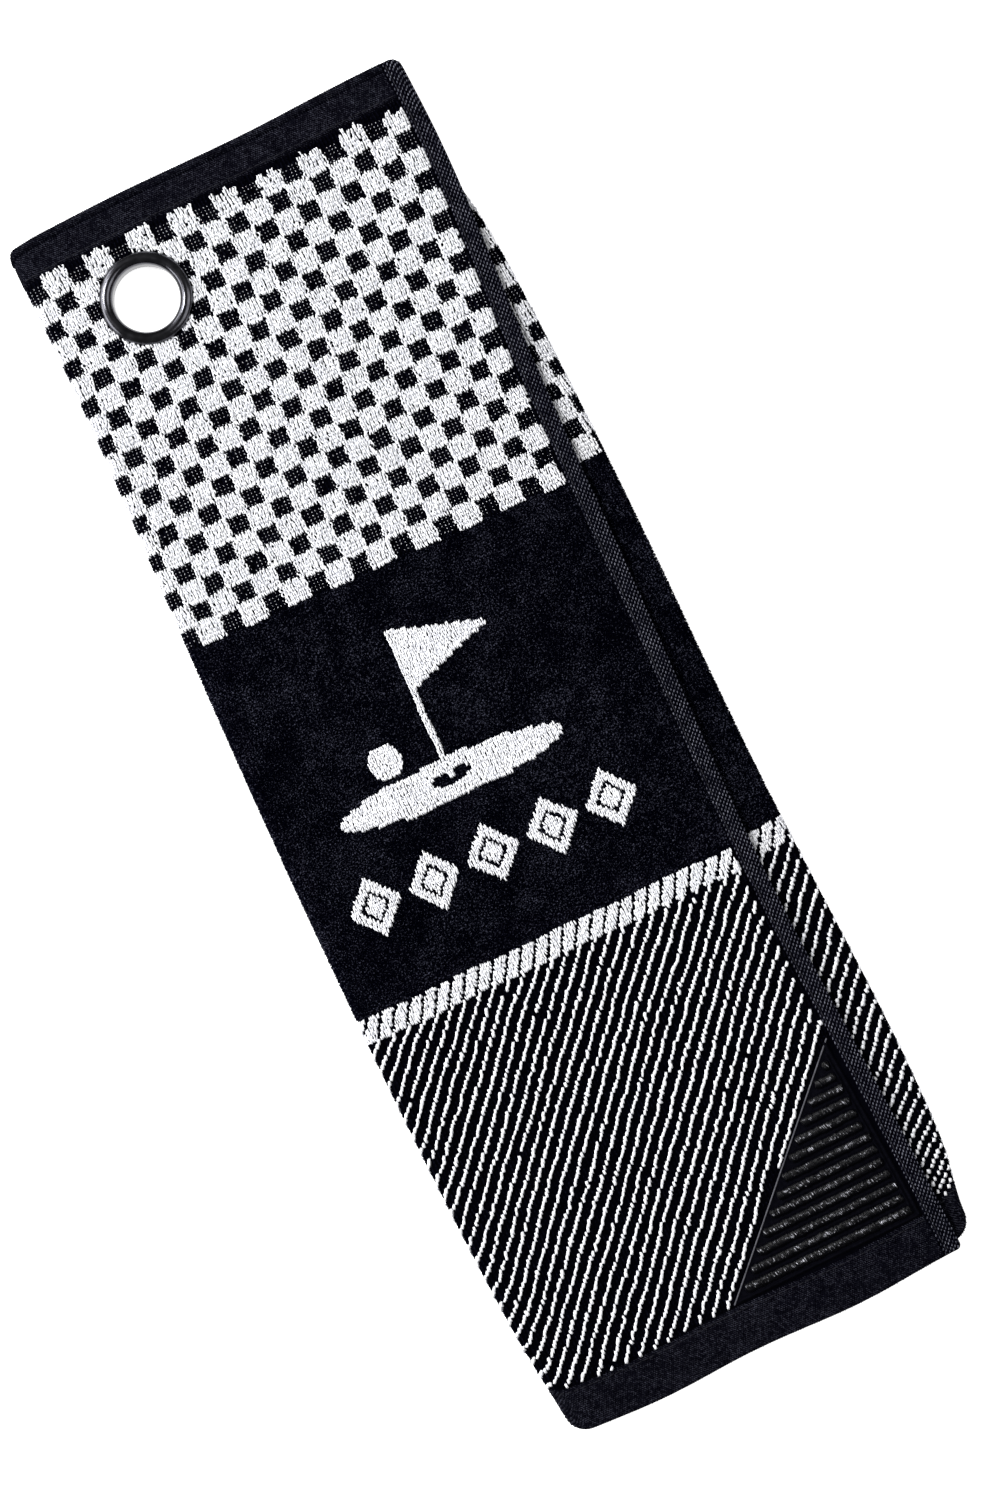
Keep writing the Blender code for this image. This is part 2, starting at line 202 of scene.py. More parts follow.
def on_cloth(s, t, h):
    """Points at height h over the cloth's middle, with the outward, across and along axes."""
    s, t, h = np.broadcast_arrays(*[np.asarray(v, float) for v in (s, t, h)])
    y = Y_TOP - t
    xl, xr, (s1, s2, s3, s4, _) = bounds_of_s(y)
    a = np.clip((s - s1) / LEFT_R, 0, math.pi)
    b = np.clip((s - s3) / RIGHT_R, 0, math.pi)
    on_left, on_right = s < (s2 + s3) / 2, s >= (s2 + s3) / 2
    x_left = xl + np.maximum(s1 - s, 0) + np.maximum(s - s2, 0) - LEFT_R * np.sin(a)
    z_left = (Z_FRONT + Z_REAR) / 2 + LEFT_R * np.cos(a)
    x_right = xr - np.maximum(s3 - s, 0) - np.maximum(s - s4, 0) + RIGHT_R * np.sin(b)
    z_right = (Z_INNER + Z_REAR) / 2 - RIGHT_R * np.cos(b)
    x = np.where(on_left, x_left, x_right)
    z = np.where(on_left, z_left, z_right)
    nx = np.where(on_left, -np.sin(a), np.sin(b))
    nz = np.where(on_left, np.cos(a), -np.cos(b))
    x, z = x + h * nx, z + h * nz
    z = z + WAVE * lift(x, y) * z / (Z_FRONT + CLOTH_T / 2)
    y = y - edge_waves(x, y, z)
    zero = np.zeros_like(x)
    point = np.stack((x, y, z), -1)
    out = np.stack((nx, zero, nz), -1)
    across = np.stack((-nz, zero, nx), -1)
    along = np.stack((zero, zero - 1, zero), -1)
    return point, out, across, along


def weft_slip(s, v):
    """How far the weft at v from the top has slipped down at s."""
    share, drop = np.array(SKEW).T
    fit = np.polynomial.Polynomial.fit(share, drop, 3)
    slip = fit(v / LENGTH) * np.clip(1 - s / (169 * MM), 0, 1)
    sway = (0.30 * np.sin(s / (7.1 * MM) + 2 * np.sin(v / (26 * MM)))
            + 0.16 * np.sin(s / (2.9 * MM) + v / (8.3 * MM)))
    return (slip + sway) * MM


def warp_sway(s, v):
    """How far the warp wanders sideways at a place."""
    return (0.22 * np.sin(v / (8.7 * MM) + 2 * np.sin(s / (31 * MM)))
            + 0.14 * np.sin(v / (3.1 * MM) - s / (9.7 * MM))) * MM


def seam_s():
    """The s of the hidden seam in the rear panel, beside the left fold."""
    return float(bounds_of_s(0.0)[2][1]) + 7 * MM


# ------------------------------------------------------------------------------- mesh making

def new_mesh(name, verts, faces, material, smooth=True):
    """A mesh object from vertex rows and lists of faces that each have the same corner count."""
    mesh = bpy.data.meshes.new(name)
    corners = np.concatenate([f.reshape(-1) for f in faces]).astype(np.int32)
    sizes = np.concatenate([np.full(len(f), f.shape[1]) for f in faces]).astype(np.int32)
    starts = np.concatenate(([0], np.cumsum(sizes)[:-1])).astype(np.int32)
    mesh.vertices.add(len(verts))
    mesh.vertices.foreach_set("co", np.ascontiguousarray(verts, np.float32).reshape(-1))
    mesh.loops.add(len(corners))
    mesh.loops.foreach_set("vertex_index", corners)
    mesh.polygons.add(len(sizes))
    mesh.polygons.foreach_set("loop_start", starts)
    mesh.polygons.foreach_set("loop_total", sizes)
    mesh.polygons.foreach_set("use_smooth", np.full(len(sizes), smooth))
    mesh.update(calc_edges=True)
    mesh.validate()
    made = bpy.data.objects.new(name, mesh)
    mesh.materials.append(material)
    bpy.context.scene.collection.objects.link(made)
    return made


def grid_cells(rows, cols):
    """The four-cornered cells of a grid of vertices."""
    index = np.arange(rows * cols).reshape(rows, cols)
    cells = np.stack((index[:-1, :-1], index[:-1, 1:], index[1:, 1:], index[1:, :-1]), -1)
    return cells.reshape(-1, 4)


def closed_faces(cells, low):
    """The upper cells, the lower ones, whose vertices come low places later, and the rim."""
    edges = np.concatenate([cells[:, [k, (k + 1) % 4]] for k in range(4)])
    _, first, count = np.unique(np.sort(edges, 1), axis=0, return_index=True,
                                return_counts=True)
    rim = edges[first[count == 1]]
    walls = np.stack((rim[:, 1], rim[:, 0], rim[:, 0] + low, rim[:, 1] + low), -1)
    return np.concatenate((cells, cells[:, ::-1] + low, walls))


def shell(name, s_lines, t_lines, top, under, material, keep=None, turn=None):
    """A closed sheet between heights top and under over a grid of s and t lines."""
    s, t = np.meshgrid(s_lines, t_lines)
    if turn is not None:
        s, t = turn(s, t)
    upper = on_cloth(s, t, top(s, t))[0]
    lower = on_cloth(s, t, under(s, t))[0]
    cells = grid_cells(*s.shape)
    if keep is not None:
        cells = cells[keep(upper.reshape(-1, 3))[cells].all(1)]
    faces = closed_faces(cells, s.size)
    verts = np.concatenate((upper.reshape(-1, 3), lower.reshape(-1, 3)))
    used = np.unique(faces)
    order = np.full(len(verts), -1)
    order[used] = np.arange(len(used))
    return new_mesh(name, verts[used], [order[faces]], material)


def strands(name, base, out, across, along, size, material, rings=4, sides=4):
    """Small arched yarns: size holds each one's length, height, radius, turn and lean."""
    count = len(base)
    length, height, radius, turn, lean_x, lean_y = [
        np.broadcast_to(v, count) for v in size]
    c, q = np.cos(turn)[:, None], np.sin(turn)[:, None]
    a, w = along * c + across * q, across * c - along * q
    f = np.linspace(0, 1, rings + 1)
    u = (f - 0.5)[None, :] * length[:, None]
    arch = np.sin(math.pi * f) ** 0.75
    rise = arch[None, :] * height[:, None]
    slope = np.arctan2(np.gradient(rise, axis=1), np.gradient(u, axis=1))
    mid = (base[:, None] + u[..., None] * a[:, None] + rise[..., None] * out[:, None]
           + arch[None, :, None] * (lean_x[:, None] * w + lean_y[:, None] * a)[:, None])
    up = (-np.sin(slope)[..., None] * a[:, None] + np.cos(slope)[..., None] * out[:, None])
    phi = 2 * math.pi * (np.arange(sides) + (0.5 if sides == 4 else 0.25)) / sides
    r = (radius[:, None] * (0.72 + 0.28 * arch)[None, :])[..., None, None]
    verts = (mid[:, :, None] + r * (np.cos(phi)[:, None] * w[:, None, None]
                                    + np.sin(phi)[:, None] * up[:, :, None]))
    ring = np.arange(sides)
    step = np.arange(rings)[:, None] * sides
    quad = np.stack((step + ring, step + (ring + 1) % sides,
                     step + sides + (ring + 1) % sides, step + sides + ring), -1)
    caps = np.stack((ring[::-1], ring + rings * sides))
    offset = (np.arange(count) * sides * (rings + 1))[:, None, None]
    quads = (quad.reshape(-1, 4)[None] + offset).reshape(-1, 4)
    ends = (caps[None] + offset).reshape(-1, sides)
    faces = [np.concatenate((quads, ends))] if sides == 4 else [quads, ends]
    return new_mesh(name, verts.reshape(-1, 3), faces, material)


# --------------------------------------------------------------------------------- materials

def node_tree(name):
    """A new material with a Principled shader, its tree and the shader."""
    made = bpy.data.materials.new(name)
    made.use_nodes = True
    tree = made.node_tree
    return made, tree, tree.nodes["Principled BSDF"]


def noise(tree, scale, detail, kind="ShaderNodeTexNoise"):
    """A noise texture in object coordinates."""
    coords = tree.nodes.new("ShaderNodeTexCoord")
    made = tree.nodes.new(kind)
    made.inputs["Scale"].default_value = scale
    made.inputs["Detail"].default_value = detail
    tree.links.new(coords.outputs["Object"], made.inputs["Vector"])
    return made


def ramp(tree, source, stops):
    """A colour ramp on a texture's value."""
    made = tree.nodes.new("ShaderNodeValToRGB")
    for k, (at, colour) in enumerate(stops):
        stop = made.color_ramp.elements[k] if k < 2 else made.color_ramp.elements.new(at)
        stop.position, stop.color = at, (*colour, 1)
    tree.links.new(source, made.inputs["Fac"])
    return made


FIBRE_SCALE = 5200


def yarn(name, dark, light, rough=0.9, shine=0.05, mottle=90, spread=(0.32, 0.68),
         fibre=0.35, grain=1500, share=0.4):
    """Cotton yarn: two tones mixed over the cloth and from fibre to fibre, and a fibre bump."""
    made, tree, shader = node_tree(name)
    patches, specks = noise(tree, mottle, 6), noise(tree, grain, 3)
    patches.inputs["Roughness"].default_value = 0.7
    rest = tree.nodes.new("ShaderNodeMath")
    rest.operation = "MULTIPLY"
    rest.inputs[1].default_value = 1 - share
    tree.links.new(patches.outputs["Fac"], rest.inputs[0])
    mixed = tree.nodes.new("ShaderNodeMath")
    mixed.operation = "MULTIPLY_ADD"
    mixed.inputs[1].default_value = share
    tree.links.new(specks.outputs["Fac"], mixed.inputs[0])
    tree.links.new(rest.outputs["Value"], mixed.inputs[2])
    tones = ramp(tree, mixed.outputs["Value"], [(spread[0], dark), (spread[1], light)])
    tree.links.new(tones.outputs["Color"], shader.inputs["Base Color"])
    fibres = noise(tree, FIBRE_SCALE, 2)
    bump = tree.nodes.new("ShaderNodeBump")
    bump.inputs["Strength"].default_value = fibre
    bump.inputs["Distance"].default_value = 0.1 * MM
    tree.links.new(fibres.outputs["Fac"], bump.inputs["Height"])
    tree.links.new(bump.outputs["Normal"], shader.inputs["Normal"])
    shader.inputs["Roughness"].default_value = rough
    shader.inputs["Specular IOR Level"].default_value = shine
    return made


WHITE_YARN = yarn("white_terry", (0.80, 0.81, 0.87), (0.975, 0.98, 1.0), mottle=120, shine=0.2,
                  spread=(0.36, 0.56), share=0.6)
DOT_YARN = yarn("white_specks", (0.16, 0.16, 0.19), (0.85, 0.86, 0.90), mottle=650,
                spread=(0.38, 0.60))
BLACK_YARN = yarn("black_terry", (0.0002, 0.0002, 0.0009), (0.0040, 0.0042, 0.0085), mottle=420,
                  spread=(0.42, 0.66), shine=0.0)
GROUND_YARN = yarn("ground_weave", (0.0003, 0.0003, 0.0010), (0.0020, 0.0020, 0.0040), shine=0.0)
# Black velour: a mottled dark tone of its own, and light grey specks that are painted sheen on the
# tuft tips.
VELOUR_SHEEN_YARN = yarn("black_velour_painted_sheen", (0.0002, 0.0003, 0.0018), (0.090, 0.093, 0.135), mottle=70,
                   spread=(0.535, 0.72), shine=0.0, grain=1500, share=0.74)
HEM_YARN = yarn("hem_canvas", (0.0003, 0.0003, 0.0012), (0.0040, 0.0042, 0.0080), mottle=300,
                spread=(0.40, 0.70), fibre=0.5, shine=0.0)
# Hem threads: the dark tones are the black yarn's own, the light tones are painted highlights on twill
# floats and canvas knots.
TWILL_HIGHLIGHT_YARN = yarn("twill_threads_painted_highlight", (0.0020, 0.0020, 0.0050), (0.056, 0.058, 0.080), mottle=160,
                  spread=(0.45, 0.70), shine=0.05, grain=900, share=0.6, rough=0.7)
CANVAS_HIGHLIGHT_YARN = yarn("canvas_threads_painted_highlight", (0.022, 0.023, 0.036), (0.200, 0.205, 0.250), mottle=160,
                   spread=(0.42, 0.66), shine=0.12, grain=900, share=0.5, rough=0.7)
THREAD = yarn("sewing_thread", (0.003, 0.003, 0.006), (0.014, 0.014, 0.020), rough=0.6,
              shine=0.15)
PATCH_YARN = yarn("patch_binding", (0.0002, 0.0002, 0.0009), (0.0032, 0.0032, 0.0060),
                  rough=0.8, shine=0.02, mottle=500)
# Rib crest threads: black thread whose near-white tones are painted glints of light on the glossy
# satin.
CREST_GLINT_THREAD = yarn("rib_crest_glint_threads", (0.0010, 0.0010, 0.0024), (0.85, 0.86, 0.95),
                    mottle=330, spread=(0.51, 0.67), shine=0.4, grain=900, rough=0.4)
SEAM_THREAD = yarn("seam_thread", (0.035, 0.035, 0.045), (0.13, 0.13, 0.15), rough=0.6,
                   shine=0.3, mottle=300)


def scrub_finish():
    """Glossy black satin thread laid across the ribs."""
    made, tree, shader = node_tree("scrub_ribs")
    coords = tree.nodes.new("ShaderNodeTexCoord")
    spread = tree.nodes.new("ShaderNodeMapping")
    spread.inputs["Scale"].default_value = (2300, 420, 420)
    tree.links.new(coords.outputs["Object"], spread.inputs["Vector"])
    threads = tree.nodes.new("ShaderNodeTexNoise")
    threads.inputs["Scale"].default_value = 1.0
    threads.inputs["Detail"].default_value = 3
    tree.links.new(spread.outputs["Vector"], threads.inputs["Vector"])
    tones = ramp(tree, threads.outputs["Fac"],
                 [(0.40, (0.0001, 0.0001, 0.0006)), (0.72, (0.0018, 0.0018, 0.0040))])
    tree.links.new(tones.outputs["Color"], shader.inputs["Base Color"])
    bump = tree.nodes.new("ShaderNodeBump")
    bump.inputs["Strength"].default_value = 1.0
    bump.inputs["Distance"].default_value = 0.0005
    tree.links.new(threads.outputs["Fac"], bump.inputs["Height"])
    tree.links.new(bump.outputs["Normal"], shader.inputs["Normal"])
    shader.inputs["Roughness"].default_value = 0.34
    shader.inputs["Specular IOR Level"].default_value = 0.16
    return made


def nickel_finish():
    """Polished black nickel with faint polishing marks and rubbed spots."""
    made, tree, shader = node_tree("black_nickel")
    rubs = noise(tree, 260, 6)
    tones = ramp(tree, rubs.outputs["Fac"],
                 [(0.35, (0.060, 0.060, 0.068)), (0.75, (0.105, 0.105, 0.118))])
    tree.links.new(tones.outputs["Color"], shader.inputs["Base Color"])
    rough = tree.nodes.new("ShaderNodeMapRange")
    rough.inputs["To Min"].default_value = 0.13
    rough.inputs["To Max"].default_value = 0.28
    tree.links.new(rubs.outputs["Fac"], rough.inputs["Value"])
    tree.links.new(rough.outputs["Result"], shader.inputs["Roughness"])
    shader.inputs["Metallic"].default_value = 1.0
    return made


SCRUB = scrub_finish()
NICKEL = nickel_finish()


# ----------------------------------------------------------------------------- sheets and hems

def clear_of_grommet(points, radius):
    """Which points lie outside a circle round the grommet."""
    return np.hypot(points[:, 0] - GROMMET[0], points[:, 1] - GROMMET[1]) > radius


def lines(start, end, step, fine=()):
    """Grid lines from start to end, with extra ones at small distances from both ends."""
    count = max(2, round((end - start) / step))
    even = np.linspace(start, end, count + 1)
    extra = [start + d for d in fine] + [end - d for d in fine]
    return np.unique(np.concatenate((even, extra)))


S_SEAM = seam_s()
S_END = float(bounds_of_s(0.0)[2][4])
FRONT_WIDTH = 169 * MM


def fit_width(s, t):
    """Stretches the rear sheet's s so that it ends at the inner panel's free edge."""
    share = np.clip((s - S_SEAM) / (S_END - S_SEAM), 0, 1)
    return s + (bounds_of_s(Y_TOP - t)[2][4] - S_END) * share, t


def ground_relief(s, t):
    """The ground weave's own bumps."""
    i, j = np.round(s / LOOP_ACROSS), np.round(t / LOOP_ALONG)
    return 0.05 * MM * np.sin(i * 2.3 + j * 1.7)


def flat_top(s, t):
    return GROUND + ground_relief(s, t)


def flat_under(s, t):
    return -GROUND + ground_relief(s, t)


HEM_CELL = 0.7 * MM
ROLL_GROOVE = 3.6 * MM


class Hem:
    """A hem's stretch of cloth, turned over its edge, so its open edges are round and thick."""

    def __init__(self, s0, s1, t0, t1, open_sides, turn=None, roll=False):
        self.s0, self.s1, self.t0, self.t1 = s0, s1, t0, t1
        self.open_sides, self.turn, self.roll = open_sides, turn, roll

    def half(self, s, t):
        """Half the thickness at a place."""
        d = np.full_like(s, 1.0)
        for side, gap in (("s0", s - self.s0), ("s1", self.s1 - s),
                          ("t0", t - self.t0), ("t1", self.t1 - t)):
            if side in self.open_sides:
                d = np.minimum(d, gap)
        short = np.clip(1 - d / HEM_HALF, 0, 1)
        return np.maximum(HEM_HALF * np.sqrt(1 - short * short), 0.04 * MM)

    def top(self, s, t):
        """Height of the outer face, with its puckers and the line of the rolled edge."""
        rise = 0.07 * np.sin(s / (1.7 * MM) + 2 * np.sin(s / (9 * MM)) + t / (4 * MM))
        rise += 0.09 * np.sin(s / (6.3 * MM) + t / (2.6 * MM) + 1.1)
        if self.roll:
            d = (t - self.t0 - ROLL_GROOVE) / MM
            rise += 0.26 * np.exp(-((d + 1.9) / 1.1) ** 2)
            rise -= 0.50 * np.exp(-(d / 0.5) ** 2)
        return self.half(s, t) + rise * MM

    def build(self, name):
        """The hem's folded cloth."""
        s_lines = lines(self.s0, self.s1, HEM_CELL, (0.12 * MM,))
        t_lines = lines(self.t0, self.t1, HEM_CELL, (0.12 * MM,))
        return shell(name, s_lines, t_lines, self.top, lambda s, t: -self.half(s, t), HEM_YARN,
                     turn=self.turn)

    def threads(self, name, plain):
        """The weave's raised threads: knots of a plain weave, or a twill's leaning floats, in yarns
        whose light tones are painted highlights.
        """
        across, along = (0.92 * MM, 0.98 * MM) if plain else (0.98 * MM, 0.66 * MM)
        i, j = np.meshgrid(np.arange(round((self.s1 - self.s0) / across)),
                           np.arange(round((self.t1 - self.t0) / along)))
        if plain:
            seen = (i + j) % 2 == 0
            i, j = i[seen], j[seen]
        i, j = i.reshape(-1), j.reshape(-1)
        slip = 0.0 if plain else (j * 0.36) % 1.0
        n = len(i)
        s = self.s0 + (i + 0.5 + slip) * across + RNG.normal(0, 0.06, n) * MM
        t = self.t0 + (j + 0.5) * along + RNG.normal(0, 0.05, n) * MM
        good = (s > self.s0 + 0.15 * MM) & (s < self.s1 - 0.15 * MM)
        if self.roll:
            good &= np.abs(t - self.t0 - ROLL_GROOVE) > 0.55 * MM
        s, t = s[good], t[good]
        n = len(s)
        rise = self.top(s, t)
        if self.turn is not None:
            s, t = self.turn(s, t)
        places = list(on_cloth(s, t, rise - 0.10 * MM))
        if plain:
            size = (RNG.normal(0.98, 0.08, n) * MM, 0.22 * MM, RNG.normal(0.27, 0.03, n) * MM,
                    RNG.normal(0.35, 0.12, n), 0.0, 0.0)
        else:
            size = (RNG.normal(1.15, 0.08, n) * MM, 0.13 * MM, RNG.normal(0.18, 0.02, n) * MM,
                    RNG.normal(-0.62, 0.10, n), 0.0, 0.0)
        # The thread yarns' light tones are painted highlights on black thread.
        return strands(name, *places, size, CANVAS_HIGHLIGHT_YARN if plain else TWILL_HIGHLIGHT_YARN, 2, 3)


def build_sheets():
    """The cloth in two sheets that meet at the hidden seam, with the grommet's hole."""
    fine = (0.25 * MM, 0.8 * MM)
    t_lines = lines(1 * MM, LENGTH - 1 * MM, 2.0 * MM, fine)
    hole = BORE_R + 1.4 * MM

    def keep(points):
        return clear_of_grommet(points, hole)

    front = shell("front_sheet", lines(1 * MM, S_SEAM, 2.0 * MM, fine), t_lines,
                  flat_top, flat_under, GROUND_YARN, keep)
    rear = shell("rear_sheet", lines(S_SEAM, S_END, 2.2 * MM, fine), t_lines,
                 flat_top, flat_under, GROUND_YARN, keep, turn=fit_width)
    return front, rear


front_sheet, rear_sheet = build_sheets()
FRONT_PIECES, REAR_PIECES = [], []

# ------------------------------------------------------------------------ camera, light, floor

def build_stage():
    """Camera above the towel, a pale floor and soft light."""
    scene = bpy.context.scene
    centre = Vector((VIEW_OFFSET[0], VIEW_OFFSET[1], 0))
    up = Vector((math.sin(VIEW_TURN), math.cos(VIEW_TURN), 0))
    back = Vector((0, 0, 1))
    right = up.cross(back)
    camera = bpy.data.objects.new("camera", bpy.data.cameras.new("camera"))
    camera.data.sensor_width = SENSOR
    camera.data.lens = SENSOR * VIEW_HEIGHT / VIEW_SPAN
    camera.matrix_world = Matrix((right, up, back)).transposed().to_4x4()
    camera.location = centre + back * VIEW_HEIGHT
    scene.collection.objects.link(camera)
    scene.camera = camera

    half = 3.0
    corners = np.array([(-half, -half, 0), (half, -half, 0), (half, half, 0),
                        (-half, half, 0)], float)
    corners[:, 2] = -0.3 * MM
    made, tree, shader = node_tree("pale_floor")
    shader.inputs["Base Color"].default_value = (0.90, 0.90, 0.90, 1)
    shader.inputs["Emission Color"].default_value = (1, 1, 1, 1)
    shader.inputs["Emission Strength"].default_value = 0.85
    shader.inputs["Roughness"].default_value = 0.9
    floor = new_mesh("floor", corners, [np.array([[0, 1, 2, 3]])], made, smooth=False)

    world = bpy.data.worlds.new("soft_white")
    world.use_nodes = True
    world.node_tree.nodes["Background"].inputs["Color"].default_value = (1, 1, 1, 1)
    world.node_tree.nodes["Background"].inputs["Strength"].default_value = 0.12
    scene.world = world
    for name, place, wide, high, power in (("key", (-0.9, 1.0, 1.5), 0.34, 0.34, 33.0),
                                           ("rim", (-1.3, 0.75, 0.62), 2.4, 0.8, 36.0),
                                           ("fill", (1.1, -0.5, 1.6), 1.4, 1.4, 14.5)):
        lamp = bpy.data.lights.new(name, "AREA")
        lamp.shape, lamp.size, lamp.size_y, lamp.energy = "RECTANGLE", wide, high, power
        light = bpy.data.objects.new(name, lamp)
        light.location = place
        light.rotation_euler = (-Vector(place)).to_track_quat("-Z", "Y").to_euler()
        scene.collection.objects.link(light)
    scene.view_settings.view_transform = "Standard"


build_stage()


# -------------------------------------------------------------------------------- the pattern

MOTIF_S, MOTIF_V = 95 * MM, 229.4 * MM
DIAMOND_S, DIAMOND_V = 92 * MM, 290.0 * MM
DIAMOND_PITCH, DIAMOND_HALF_W, DIAMOND_HALF_H = 25 * MM, 10.8 * MM, 12 * MM


def motif(s, v):
    """A plain golf flag on its green with a ball, over a row of diamonds."""
    x, y = (MOTIF_S - s) / MM, (v - MOTIF_V) / MM
    pin = (np.abs(x) < 1.25) & (y > -35) & (y < 27)
    flag = (x > 0) & (x < 38) & (np.abs(y + 22.5) < 12.5 * (1 - x / 38))
    green = (x / 47) ** 2 + ((y - 27.5) / 8) ** 2 < 1
    cup = (x / 8.5) ** 2 + ((y - 27.0) / 2.9) ** 2 < 1
    ball = np.hypot(x + 21, y - 11.5) < 6.6
    dx = np.abs((s - DIAMOND_S + 2.5 * DIAMOND_PITCH) % DIAMOND_PITCH - DIAMOND_PITCH / 2)
    row = np.abs(s - DIAMOND_S) < 2.5 * DIAMOND_PITCH
    d = dx / DIAMOND_HALF_W + np.abs(v - DIAMOND_V) / DIAMOND_HALF_H
    diamonds = row & (d < 1) & ~((d > 0.42) & (d < 0.60))
    return pin | flag | (green & ~cup) | ball | diamonds


def stripe_line(v):
    """The s of a leaning stripe's middle at v."""
    return v * STRIPE_ACROSS / STRIPE_ALONG + LOOP_ACROSS / 2 - STRIPE_SHIFT


def is_white(s, v):
    """Whether the outer face shows white pile at s across and v down the pattern."""
    group = np.floor((s - SIDE_HEM) / (CHECK_LOOPS * LOOP_ACROSS) + 1e-6)
    row = np.clip(np.floor((CHECK_END - v) / CHECK_ROW), 0, CHECK_ROWS - 1)
    first = TOP_HEM + 3.4 * MM * np.clip(1 - s / (150 * MM), 0, 1)
    first += (0.7 * np.sin(group * 2.4) + 0.8 * np.sin(s / (0.8 * MM) + group)) * MM
    checks = ((group + row) % 2 == 0) & (v > first)
    band = (s - (v - BAND_START) / BAND_LEAN) % BAND_PERIOD > BAND_GAP
    stripe = (s - stripe_line(v)) % STRIPE_ACROSS
    stripe = np.minimum(stripe, STRIPE_ACROSS - stripe) < 0.6 * MM
    zone = zone_of(v)
    front = s < FRONT_WIDTH
    return np.select([zone == 0, zone == 1, zone == 2], [checks, front & motif(s, v), band],
                     stripe)


def zone_of(v):
    """0 checks, 1 plain, 2 band, 3 stripes."""
    return np.select([v < CHECK_END, v < BAND_START, v < BAND_START + BAND_DEPTH], [0, 1, 2], 3)


def lattice(s0, s1, across, along, shift=0.5):
    """Places on a lattice of yarns between s0 and s1, over the whole length."""
    first = math.ceil((s0 - SIDE_HEM) / across - shift)
    last = math.floor((s1 - SIDE_HEM) / across - shift)
    up = math.floor((CHECK_END - TOP_HEM) / along) + 2
    down = math.floor((LENGTH - BOTTOM_HEM - CHECK_END) / along) + 2
    s, v = np.meshgrid(SIDE_HEM + (np.arange(first, last + 1) + shift) * across,
                       CHECK_END + (np.arange(-up, down) + shift) * along)
    return s.reshape(-1), v.reshape(-1)


def in_check(s, v):
    """Where a place lies in its own check, from -1 to 1 both ways, and the check's middle."""
    wide = CHECK_LOOPS * LOOP_ACROSS
    cs = (np.floor((s - SIDE_HEM) / wide) + 0.5) * wide + SIDE_HEM
    row = np.clip(np.floor((CHECK_END - v) / CHECK_ROW), 0, CHECK_ROWS - 1)
    cv = CHECK_END - (row + 0.5) * CHECK_ROW
    return 2 * (s - cs) / wide, np.clip(2 * (v - cv) / CHECK_ROW, -1, 1), cs, cv


def bulge(s, v, amount):
    """Spreads the white checks over the black ones, most in the middle of each side."""
    a, b, cs, cv = in_check(s, v)
    checks = zone_of(v) == 0
    out_s = amount * (1 - 0.4 * b * b) * (s - cs)
    out_v = amount * (1 - 0.4 * a * a) * np.clip(v - cv, -CHECK_ROW / 2, CHECK_ROW / 2)
    return s + np.where(checks, out_s, 0), v + np.where(checks, out_v, 0)


def patch_slant(y):
    """The x of the patch's slanted side."""
    return PATCH_LOW.x + (y - PATCH_LOW.y) - 1.5 * MM


def patch_right(y):
    """The x of the patch's right side, which runs beside the side hem."""
    share = (y - PATCH_LOW.y) / (PATCH_HIGH.y - PATCH_LOW.y)
    return FREE_X(y) - SIDE_HEM - (0.9 + 1.6 * share) * MM


def patch_reach(points, margin):
    """Which points of the front lie on the scrub patch, grown by margin, or beside its hem."""
    x, y = points[:, 0], points[:, 1]
    inside = (y < PATCH_HIGH.y + 1.5 * MM + margin) & (x > patch_slant(y) - margin)
    return inside & (points[:, 2] > (Z_INNER + Z_FRONT) / 2)


def on_face(s, v, h):
    """Where lattice places lie, and which of them carry pile."""
    t = v + weft_slip(s, v)
    place = on_cloth(s + warp_sway(s, v), t, h)
    s5 = bounds_of_s(Y_TOP - t)[2][4]
    good = (t > TOP_HEM + 0.5 * MM) & (t < LENGTH - BOTTOM_HEM - 0.5 * MM)
    good &= (s > SIDE_HEM + 0.3 * MM) & (s < s5 - SIDE_HEM - 0.3 * MM)
    return place, good & clear_of_grommet(place[0], FLANGE_R + 0.1 * MM)


def group_of(s, t):
    """Which run of the cloth a place is on: 0 front and left fold, 1 rear, 2 inner."""
    s1, s2, s3, s4, _ = bounds_of_s(Y_TOP - t)[2]
    return np.select([s < s2 + 1 * MM, s < s4 - 1.5 * MM], [0, 1], 2)


def pile_height(points, s, t, tall, flat):
    """Pile stands tall where it is free, and is pressed flat under a layer or the weight."""
    run = group_of(s, t)
    covered = (run == 2) & (points[:, 0] < FREE_X(points[:, 1]) - 3 * MM)
    return np.where((run == 1) | covered, flat, tall)


TRIANGLE_LIMIT = 180000


def strand_pieces(name, places, size, material, rings, sides):
    """One object, or several where there are many triangles."""
    each = 2 * rings * sides + 2 * (sides - 2)
    count = len(places[0])
    parts = max(1, math.ceil(count * each / TRIANGLE_LIMIT))
    made = []
    for k, part in enumerate(np.array_split(np.arange(count), parts)):
        title = name if parts == 1 else f"{name}_{k + 1}"
        made.append(strands(title, *[p[part] for p in places],
                            [np.broadcast_to(v, count)[part] for v in size],
                            material, rings, sides))
    return made


